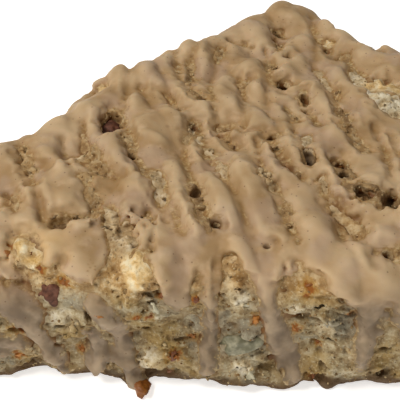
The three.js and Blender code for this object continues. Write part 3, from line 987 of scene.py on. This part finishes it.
def hollows(mesh, rounds):
    """How far each vertex lies below the smoothed surface around it, in millimetres."""
    edges = np.empty(2 * len(mesh.edges), np.int32)
    mesh.edges.foreach_get("vertices", edges)
    places = places_of(mesh)
    offset = smoothed(places, edges.reshape(-1, 2), rounds) - places
    return (offset * normals_of(mesh)).sum(1)


def make_piece(name, vertices, faces, material):
    """A smooth-shaded mesh piece, in metres."""
    mesh = bpy.data.meshes.new(name)
    mesh.from_pydata(vertices * MM, [], faces)
    mesh.polygons.foreach_set("use_smooth", np.ones(len(mesh.polygons), bool))
    mesh.materials.append(material)
    piece = bpy.data.objects.new(name, mesh)
    bpy.context.scene.collection.objects.link(piece)
    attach(piece, "root")
    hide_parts("scone")
    return piece


def set_values(mesh, **attributes):
    """Named values at a mesh's vertices, for its material."""
    for label, values in attributes.items():
        mesh.attributes.new(label, "FLOAT", "POINT").data.foreach_set("value", values.astype(np.float32))


def thin_out(piece, hidden):
    """Merges faces around hidden vertices. All other faces stay."""
    mesh = piece.data
    triangles = sum(len(face.vertices) - 2 for face in mesh.polygons)
    group = piece.vertex_groups.new(name="hidden")
    group.add(np.nonzero(hidden)[0].tolist(), 1.0, "REPLACE")
    modifier = piece.modifiers.new("thin out", "DECIMATE")
    modifier.ratio = THINNED_TRIANGLES / triangles
    modifier.vertex_group = group.name
    bpy.context.view_layer.update()
    thinned = bpy.data.meshes.new_from_object(piece.evaluated_get(bpy.context.evaluated_depsgraph_get()))
    thinned.name = mesh.name
    piece.modifiers.clear()
    piece.vertex_groups.clear()
    piece.data = thinned
    bpy.data.meshes.remove(mesh)


def colour(code):
    """Linear RGBA of an sRGB hex code."""
    parts = [int(code[i : i + 2], 16) / 255 for i in (0, 2, 4)]
    return [p / 12.92 if p <= 0.04045 else ((p + 0.055) / 1.055) ** 2.4 for p in parts] + [1]


class Graph:
    """Short calls for the nodes of one material."""

    def __init__(self, name):
        self.material = bpy.data.materials.new(name)
        self.material.use_nodes = True
        self.tree = self.material.node_tree
        self.shader = self.tree.nodes["Principled BSDF"]
        self.place = self.tree.nodes.new("ShaderNodeTexCoord").outputs["Object"]

    def fill(self, socket, value):
        """Links a socket to another one, or sets its value."""
        if isinstance(value, bpy.types.NodeSocket):
            self.tree.links.new(value, socket)
        else:
            socket.default_value = value

    def node(self, kind, inputs, output=0, **settings):
        made = self.tree.nodes.new(kind)
        for key, value in settings.items():
            setattr(made, key, value)
        for key, value in inputs.items():
            self.fill(made.inputs[key], value)
        return made.outputs[output]

    def attribute(self, name):
        return self.node("ShaderNodeAttribute", {}, "Fac", attribute_name=name)

    def noise(self, size, detail=3, roughness=0.55):
        """Noise whose features are about a size in millimetres."""
        inputs = {"Vector": self.place, "Scale": 1 / (size * MM), "Detail": detail, "Roughness": roughness}
        return self.node("ShaderNodeTexNoise", inputs)

    def math(self, operation, first, second=0.0, third=0.0):
        return self.node("ShaderNodeMath", {0: first, 1: second, 2: third}, operation=operation)

    def step(self, value, low, high):
        inputs = {"Value": value, "From Min": low, "From Max": high}
        return self.node("ShaderNodeMapRange", inputs, interpolation_type="SMOOTHSTEP")

    def mix(self, share, first, second):
        """Goes from a first colour to a second. Shares below 0 count as 0."""
        inputs = {0: share, 6: first, 7: second}
        return self.node("ShaderNodeMix", inputs, 2, data_type="RGBA")

    def tint(self, skin, code, amount, share=1.0):
        """Colours a skin by an amount from 0 to 1, of which a share is used."""
        return self.mix(self.math("MULTIPLY", amount, share), skin, colour(code))

    def shades(self, value, dark, middle, light):
        """Three colours over the range that noise mostly has."""
        made = self.tree.nodes.new("ShaderNodeValToRGB")
        elements = made.color_ramp.elements
        elements.new(0.5)
        for element, position, code in zip(elements, (0.36, 0.5, 0.64), (dark, middle, light)):
            element.position = position
            element.color = colour(code)
        self.fill(made.inputs["Fac"], value)
        return made.outputs["Color"]

    def dots(self, spacing, size, share):
        """1 in small dots at random places: their spacing and size in millimetres, and the share kept."""
        cells = self.tree.nodes.new("ShaderNodeTexVoronoi")
        cells.inputs["Scale"].default_value = 1 / (spacing * MM)
        self.fill(cells.inputs["Vector"], self.place)
        chance = self.node("ShaderNodeSeparateColor", {"Color": cells.outputs["Color"]})
        kept = self.step(chance, 1 - share, 1.02 - share)
        reach = size / spacing
        return self.math("MULTIPLY", self.step(cells.outputs["Distance"], reach, 0.5 * reach), kept)

    def sponge(self, size):
        """Distance from the nearest of pores that are about a size in millimetres apart: 0 in a pore."""
        bend = self.node("ShaderNodeTexNoise", {"Vector": self.place, "Scale": 1 / (size * MM)}, "Color")
        inputs = {0: bend, 1: (0.9 * size * MM,) * 3, 2: self.place}
        bent = self.node("ShaderNodeVectorMath", inputs, operation="MULTIPLY_ADD")
        return self.node("ShaderNodeTexVoronoi", {"Vector": bent, "Scale": 1 / (size * MM)}, "Distance")

    def bump(self, height, strength, depth):
        inputs = {"Height": height, "Strength": strength, "Distance": depth * MM}
        return self.node("ShaderNodeBump", inputs)

    def finish(self, **values):
        for key, value in values.items():
            self.fill(self.shader.inputs[key.replace("_", " ")], value)
        return self.material


def dough_material():
    g = Graph("dough")
    fine = g.noise(0.5, 4, 0.7)
    coarse = g.noise(2.0)
    patches = g.noise(7, 2)
    sponge = g.sponge(0.75)
    tone = g.attribute("tone")
    gold = g.attribute("gold")
    skin = g.shades(coarse, "7e6846", "9c8a66", "b7a98a")
    skin = g.tint(skin, "a0844e", g.step(patches, 0.52, 0.64), 0.75)
    skin = g.tint(skin, "928c78", g.step(patches, 0.48, 0.36), 0.75)
    skin = g.mix(g.attribute("baked"), skin, g.shades(coarse, "95703f", "bc9762", "d8bd8f"))
    bleached = g.math("MULTIPLY", tone, g.step(g.noise(1.6), 0.2, 0.45))
    skin = g.mix(bleached, skin, g.shades(coarse, "ccb58b", "e5d5b1", "f4ead2"))
    darkened = g.math("MULTIPLY", tone, -0.8)
    skin = g.mix(darkened, skin, g.shades(coarse, "4e3216", "75522a", "9c7a48"))
    skin = g.mix(gold, skin, g.shades(coarse, "cea664", "e6c58c", "f4e4bc"))
    # Crumb grain colour, with painted shade in the low spots of the fine bump and painted highlight on its
    # high spots.
    skin = g.tint(skin, "6b4c29", g.step(fine, 0.47, 0.3), 0.4)
    skin = g.tint(skin, "d9cfb2", g.step(fine, 0.54, 0.72), 0.5)
    # Painted shade: the pores of the sponge are darker brown, less so in golden dough.
    pores = g.math("MULTIPLY", g.step(sponge, 0.36, 0.12), g.step(g.noise(1.8, 2), 0.42, 0.58))
    skin = g.tint(skin, "5f3e1c", pores, g.math("MULTIPLY_ADD", gold, -0.5, 0.6))
    skin = g.tint(skin, "9c8360", g.attribute("glaze"), 0.4)
    blotch = g.math("MULTIPLY_ADD", g.noise(0.9), 1.8, g.math("ADD", g.attribute("stain"), -0.9))
    skin = g.tint(skin, "a57a2c", g.step(blotch, 0.2, 0.6), 0.5)
    skin = g.tint(skin, "8c4a10", g.step(blotch, 0.55, 0.95), 0.85)
    # Painted shade: darker brown in hollows, where the surface lies below the smoothed surface around it.
    skin = g.tint(skin, "5f421f", g.attribute("hollow"), 0.35)
    # Darker and browner with depth below the base surface: partly darker crumb, partly painted shade in pits
    # and holes.
    skin = g.tint(skin, "77522b", g.attribute("cavity"), 0.5)
    skin = g.tint(skin, "55300f", g.attribute("deep"))
    # Darker brown towards the foot, in a noisy band.
    skin = g.tint(skin, "523a20", g.attribute("foot"), 0.9)
    height = g.math("MULTIPLY_ADD", g.step(sponge, 0.1, 0.5), 0.6, fine)
    bump = g.bump(height, strength=0.6, depth=0.25)
    return g.finish(Base_Color=skin, Roughness=0.85, Normal=bump, Specular_IOR_Level=0.25)


def icing_material():
    g = Graph("icing")
    cloud = g.noise(3.2)
    thickness = g.attribute("thickness")
    thinness = g.step(thickness, 0.9, 0.0)
    skin = g.shades(g.noise(11), "a58459", "b4946a", "c2a57e")
    skin = g.tint(skin, "c4a580", g.step(cloud, 0.5, 0.75))
    skin = g.tint(skin, "b2967c", g.step(g.noise(8, 2), 0.5, 0.64), 0.55)
    skin = g.tint(skin, "987240", thinness)
    skin = g.tint(skin, "d2af7c", g.attribute("warm"), 0.75)
    mottled = g.shades(g.noise(4.5, 3, 0.6), "6d5b46", "806d56", "97836b")
    skin = g.mix(g.attribute("side"), skin, g.tint(mottled, "7d6c4c", thinness))
    # Painted shade: darker brown where the icing lies below its smoothed surface.
    skin = g.tint(skin, "86622f", g.attribute("hollow"), 0.42)
    # Painted highlight: paler on the crests, where the icing stands above its smoothed surface.
    skin = g.tint(skin, "d4ba93", g.attribute("ridge"), 0.38)
    crumbs = g.shades(g.noise(0.8), "86643a", "ad8d5b", "d2b98b")
    frayed = g.math("MULTIPLY_ADD", g.noise(0.9), 0.9, g.math("ADD", thickness, -0.45))
    skin = g.mix(g.math("MULTIPLY", g.step(frayed, 0.65, 0.15), 0.7), skin, crumbs)
    skin = g.tint(skin, "5a3517", g.dots(spacing=1.25, size=0.2, share=0.55), 0.5)
    skin = g.tint(skin, "7a5327", g.dots(spacing=4.1, size=0.7, share=0.35), 0.3)
    # Dark brown where the icing lies below the dough's base surface, in pits: partly crumb colour of the cut
    # walls, partly painted shade.
    skin = g.tint(skin, "6e431b", g.attribute("depth"))
    height = g.math("MULTIPLY_ADD", g.noise(0.6), 0.3, g.noise(2.2))
    return g.finish(
        Base_Color=skin,
        Roughness=g.step(cloud, -0.9, 1.5),
        Normal=g.bump(height, strength=0.3, depth=0.35),
        Specular_IOR_Level=0.3,
        Subsurface_Weight=0.2,
        Subsurface_Radius=(1.0, 0.6, 0.35),
        Subsurface_Scale=1.2 * MM,
    )


def toned_material(name, dark, light, size, contrast=0.6, **values):
    """A colour that varies from body to body by its tone, and within it by noise of a size."""
    g = Graph(name)
    level = g.math("MULTIPLY_ADD", g.attribute("tone"), 0.9, 0.05 - contrast / 2)
    shade = g.math("MULTIPLY_ADD", g.noise(size), contrast, level)
    skin = g.mix(g.step(shade, 0.0, 1.0), colour(dark), colour(light))
    bump = g.bump(g.noise(0.6 * size), strength=0.4, depth=0.2)
    return g.finish(Base_Color=skin, Normal=bump, **values)


def carrot_stain(x, y, z):
    """How much a carrot shred of the front side colours the crumb next to it."""
    stain = np.zeros_like(x)
    for (at_x, at_z), length, width, _ in CARROTS:
        reach = ((x - at_x) ** 2 + (z - at_z) ** 2) / (0.9 * length * width)
        stain = np.maximum(stain, np.exp(-reach))
    return stain * (y < TIP[1] + COLOURED_DEPTH)


def front_paleness(x, y, z):
    """How pale the crumb of the front side is, from 0 to 1."""
    paleness = np.zeros_like(x)
    for (at_x, at_z), radius in FRONT_PALE:
        reach = np.hypot(x - at_x, z - at_z) / radius
        paleness = np.maximum(paleness, 1 - smoothstep(reach, 0.3, 1.2))
    return PALENESS * paleness * (y < TIP[1] + COLOURED_DEPTH)


def build_dough(grid, fields):
    vertices, quads = large_pieces(*surface_net(grid, fields["dough"]), least=400)
    piece = make_piece("dough", vertices, quads, dough_material())
    hidden = grid.sample(fields["cover"], vertices) > HIDDEN_COVER
    hidden &= grid.sample(fields["base"], vertices) > -HIDDEN_DEPTH
    thin_out(piece, hidden | (vertices[:, 2] < UNDERSIDE))
    places = places_of(piece.data)
    x, y, z = places.T
    depth = -base_field(x, y, z)
    drop = top_height(x, y) - z
    gap, gap_tone = nearest_gap(x, y)
    tone = gap_tone * (1 - smoothstep(gap, 0.3, 2)) * (1 - smoothstep(drop, 2, 6))
    set_values(
        piece.data,
        # Depth below the base surface, for colours that are partly darker crumb and partly painted shade in
        # holes.
        cavity=smoothstep(depth, 0.2, 1.8),
        deep=smoothstep(depth, 2.2, 5),
        # How far a vertex lies below the smoothed surface, for the painted shade in hollows.
        hollow=smoothstep(hollows(piece.data, rounds=6), 0, 0.2),
        stain=carrot_stain(x, y, z),
        tone=tone + front_paleness(x, y, z),
        gold=1 - smoothstep(golden_distance(x, y, z), -0.3, 1.2),
        glaze=smoothstep(grid.sample(fields["cover"], places), -1.8, 0.2),
        baked=1 - smoothstep(drop, 3, 8),
        foot=1 - smoothstep(z + 0.7 * value_noise(places, 4, seed=51), 1.8, 4),
    )
    return piece


def build_icing(grid, fields):
    vertices, quads = large_pieces(*surface_net(grid, fields["icing"]), least=60)
    vertices = smoothed(vertices, quad_edges(quads), rounds=1)
    piece = make_piece("icing", vertices, quads, icing_material())
    thin_out(piece, grid.sample(fields["base"], vertices) < -ICING_INSIDE)
    places = places_of(piece.data)
    drop = top_height(places[:, 0], places[:, 1]) - places[:, 2]
    thickness = grid.sample(fields["thickness"], places)
    below = hollows(piece.data, rounds=40)
    side = smoothstep(drop, 1, 10)
    thick = smoothstep(thickness, 0.6, 1.3)
    set_values(
        piece.data,
        thickness=thickness,
        side=side,
        # How far below the dough's base surface, for the partly painted shade in pits.
        depth=smoothstep(-base_field(*places.T), -0.3, 0.7),
        warm=ledge_warmth(places),
        # For the painted shade in the icing's hollows, weaker on the sides.
        hollow=smoothstep(below, 0.02, 0.3) * (1 - 0.45 * side),
        # For the painted highlight on crests of thick icing, weaker on the sides.
        ridge=smoothstep(-below, 0.02, 0.3) * thick * (1 - 0.6 * side),
    )


def ball(segments, rings):
    """Unit sphere as vertices and triangles."""
    polar = np.linspace(0, math.pi, rings + 1)
    turn = np.linspace(0, 2 * math.pi, segments, endpoint=False)
    p, t = np.meshgrid(polar, turn, indexing="ij")
    vertices = np.stack([np.sin(p) * np.cos(t), np.sin(p) * np.sin(t), np.cos(p)], -1).reshape(-1, 3)
    row, column = np.meshgrid(np.arange(rings), np.arange(segments), indexing="ij")
    a = (row * segments + column).ravel()
    b = (row * segments + (column + 1) % segments).ravel()
    upper = np.stack([a, a + segments, b], 1)[segments:]
    lower = np.stack([b, a + segments, b + segments], 1)[:-segments]
    return vertices, np.concatenate([upper, lower])


def sliver():
    """A blunt wedge with soft edges, thick at one end."""
    unit, triangles = ball(segments=24, rings=14)
    boxy = np.sign(unit) * np.abs(unit) ** 0.85
    boxy[:, 1:] *= 1 - 0.5 * boxy[:, :1]
    return boxy, triangles


def scatter(name, shape, items, material):
    """One piece out of many bodies: a shape for each centre, three axes, radii, wrinkles and tone."""
    unit, triangles = shape
    bodies, tones = [], []
    for i, (centre, axes, radii, wrinkle, tone) in enumerate(items):
        swell = 1 + wrinkle * value_noise(unit + WRINKLE_SHIFT * i, WRINKLE_LENGTH, seed=61)
        bodies.append(centre + (unit * swell[:, None] * radii) @ np.array(axes))
        tones.append(np.full(len(unit), tone))
    faces = np.concatenate([triangles + i * len(unit) for i in range(len(bodies))])
    piece = make_piece(name, np.concatenate(bodies), faces, material)
    set_values(piece.data, tone=np.concatenate(tones))


def frame_axes(normal, lean):
    """Three axes on a surface: along it at a lean in degrees, across it, and out of it."""
    normal = np.array(normal) / np.linalg.norm(normal)
    level = np.cross((0, 0, 1), normal) if abs(normal[2]) < 0.9 else np.array((1.0, 0, 0))
    level = level - normal * (level @ normal)
    level /= np.linalg.norm(level)
    up = np.cross(normal, level)
    angle = math.radians(lean)
    along = level * math.cos(angle) + up * math.sin(angle)
    return along, np.cross(normal, along), normal


def front_place(grid, fields, x, z):
    """The outermost place of the front side at (x, z)."""
    i, _, k = grid.index((x, 0, z))
    solid = np.minimum(fields["dough"][i, :, k], fields["icing"][i, :, k]) < 0
    return np.array((x, grid.axes[1][solid.argmax()], z))


def bare_places(grid, fields, piece, count, seed):
    """Random bare places of the dough, their normals, and the generator that picked them."""
    random = np.random.default_rng(seed)
    places = places_of(piece.data)
    bare = (grid.sample(fields["cover"], places) < 0.2) & (places[:, 2] > 0.6)
    bare &= golden_distance(*places.T) > 0.5
    picked = random.choice(np.nonzero(bare)[0], count, replace=False)
    return places[picked], normals_of(piece.data)[picked], random


def away_from_front(place):
    """Whether a place is on the far or the rounded side, below the top's edge."""
    below_top = place[2] <= top_height(place[0], place[1]) - CARROTS_BELOW_TOP
    return below_top and not near_front(place[0], place[1], CARROTS_FROM_FRONT)


def build_carrots(grid, fields, dough):
    random = np.random.default_rng(71)
    items = []
    for (x, z), length, width, lean in CARROTS:
        axes = frame_axes(FRONT_NORMAL, lean)
        radii = (CARROT_HALF * length, CARROT_HALF * width, CARROT_DEPTH)
        items.append((front_place(grid, fields, x, z), axes, radii, 0.5, random.uniform(0.1, 0.9)))
    places, normals, _ = bare_places(grid, fields, dough, CARROT_TRIES, seed=72)
    others = [(place, normal) for place, normal in zip(places, normals) if away_from_front(place)]
    for place, normal in others[:OTHER_CARROTS]:
        axes = frame_axes(normal, random.uniform(0, 180))
        radii = (random.uniform(*CARROT_LENGTHS), random.uniform(*CARROT_WIDTHS), OTHER_CARROT_DEPTH)
        items.append((place, axes, radii, 0.25, random.uniform(0, 1)))
    items.append((np.array(TOE), frame_axes(UPWARDS, TOE_HEADING), TOE_RADII, 0.45, 0.35))
    material = toned_material("carrot", "5f2c0a", "b8782e", 0.7, Roughness=0.45, Specular_IOR_Level=0.4)
    scatter("carrot_shreds", ball(segments=12, rings=8), items, material)


def build_raisins():
    items = [(np.array(centre), np.eye(3), radii, 0.45, 0.42) for centre, radii in RAISINS]
    finish = {"Roughness": 0.6, "Specular_IOR_Level": 0.2}
    material = toned_material("raisin", "3a1f15", "8c5c46", 1.1, contrast=1.3, **finish)
    scatter("raisins", ball(segments=40, rings=28), items, material)


def build_nuts(grid, fields):
    items = []
    for (x, z), half_length, half_height, lean, tone in FRONT_NUTS:
        radii = (half_length, half_height, NUT_DEPTH * half_height)
        place = front_place(grid, fields, x, z)
        items.append((place, frame_axes(FRONT_NORMAL, lean), radii, 0.25, tone))
    finish = {"Roughness": 0.45, "Specular_IOR_Level": 0.4}
    material = toned_material("nut", "6a664c", "dcd2b2", 1.6, contrast=1.4, **finish)
    scatter("nuts", sliver(), items, material)


def build_grains(grid, fields, dough):
    centres, normals, random = bare_places(grid, fields, dough, GRAIN_COUNT, seed=81)
    items = []
    for centre, normal in zip(centres, normals):
        axes = frame_axes(normal, random.uniform(0, 360))
        radii = random.uniform(*GRAIN_RADII) * random.uniform(*GRAIN_STRETCH, 3)
        items.append((centre - GRAIN_SUNK * normal, axes, radii, 0.0, random.uniform(0, 1)))
    material = toned_material("grain", "7a5c36", "bca67c", 0.6, Roughness=0.9, Specular_IOR_Level=0.1)
    scatter("crumb_grains", ball(segments=5, rings=3), items, material)


def add_aimed(name, data, place, back):
    """Adds a camera or a light that looks against a direction."""
    made = bpy.data.objects.new(name, data)
    made.location = place
    made.rotation_euler = back.to_track_quat("Z", "Y").to_euler()
    bpy.context.scene.collection.objects.link(made)
    return made


def add_camera():
    level = math.cos(CAMERA_ELEVATION)
    to_right = math.sin(CAMERA_AZIMUTH) * level
    to_front = math.cos(CAMERA_AZIMUTH) * level
    back = Vector((to_right, -to_front, math.sin(CAMERA_ELEVATION)))
    data = bpy.data.cameras.new("camera")
    data.lens = CAMERA_LENS
    data.clip_start = CAMERA_CLIP
    bpy.context.scene.camera = add_aimed("camera", data, CAMERA_AIM + back * CAMERA_DISTANCE, back)


def add_light(name, place, size, watts, tint):
    data = bpy.data.lights.new(name, "AREA")
    data.size = size
    data.energy = watts
    data.color = tint
    add_aimed(name, data, place, Vector(place))


def add_stage():
    """A plain white floor, a large soft light from the left and above, a weak one, and an even surround."""
    bpy.ops.mesh.primitive_plane_add(size=FLOOR_SIZE)
    floor = bpy.context.object
    floor.name = "floor"
    paper = colour("f4f3f1")
    glow = {"Emission_Color": paper, "Emission_Strength": FLOOR_GLOW}
    floor.data.materials.append(Graph("floor").finish(Base_Color=paper, Roughness=0.9, **glow))
    for name, light in LIGHTS.items():
        add_light(name, *light)
    world = bpy.data.worlds.new("surround")
    world.use_nodes = True
    background = world.node_tree.nodes["Background"]
    background.inputs["Color"].default_value = (1, 1, 1, 1)
    background.inputs["Strength"].default_value = SURROUND_STRENGTH
    bpy.context.scene.world = world
    bpy.context.scene.view_settings.view_transform = "Standard"


def build_scone():
    grid = Grid()
    fields = build_fields(grid)
    dough = build_dough(grid, fields)
    build_icing(grid, fields)
    build_carrots(grid, fields, dough)
    build_raisins()
    build_nuts(grid, fields)
    build_grains(grid, fields, dough)


build_scone()
add_camera()
add_stage()

bpy.context.view_layer.update()
